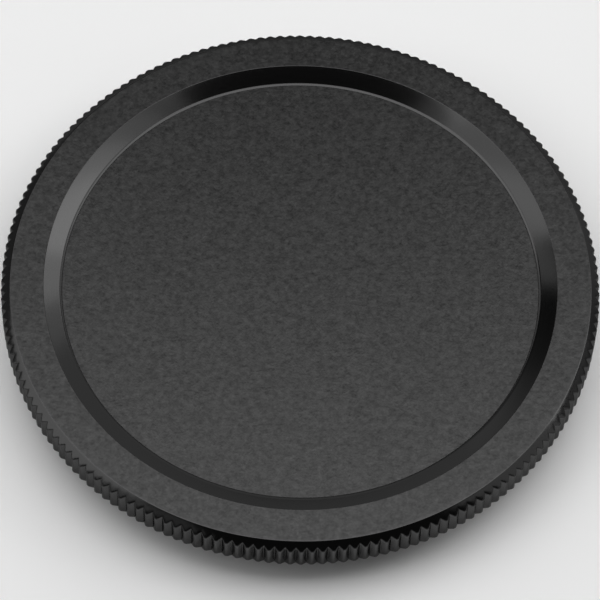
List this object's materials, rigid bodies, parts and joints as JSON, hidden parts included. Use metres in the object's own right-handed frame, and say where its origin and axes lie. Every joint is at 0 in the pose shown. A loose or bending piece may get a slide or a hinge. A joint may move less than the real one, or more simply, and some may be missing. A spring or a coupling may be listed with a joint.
{
  "type": "lens cap",
  "caption": "Round screw-in metal lens cap: dished face with a flat raised border, straight-knurled flange and a threaded skirt behind it.",
  "frame": {"origin": "middle of the skirt's end face, the plane that the cap rests on", "axes": "+Z along the thread's axis, out through the cap's dished face"},
  "size_m": [0.056, 0.056, 0.0067],
  "materials": {
    "anodised_aluminium": "black anodised: fine blasted matte on the flat faces, smooth turned satin on the recess wall, chamfers and knurl"
  },
  "bodies": {
    "root": {"lens_cap": "anodised_aluminium"}
  },
  "joints": []
}
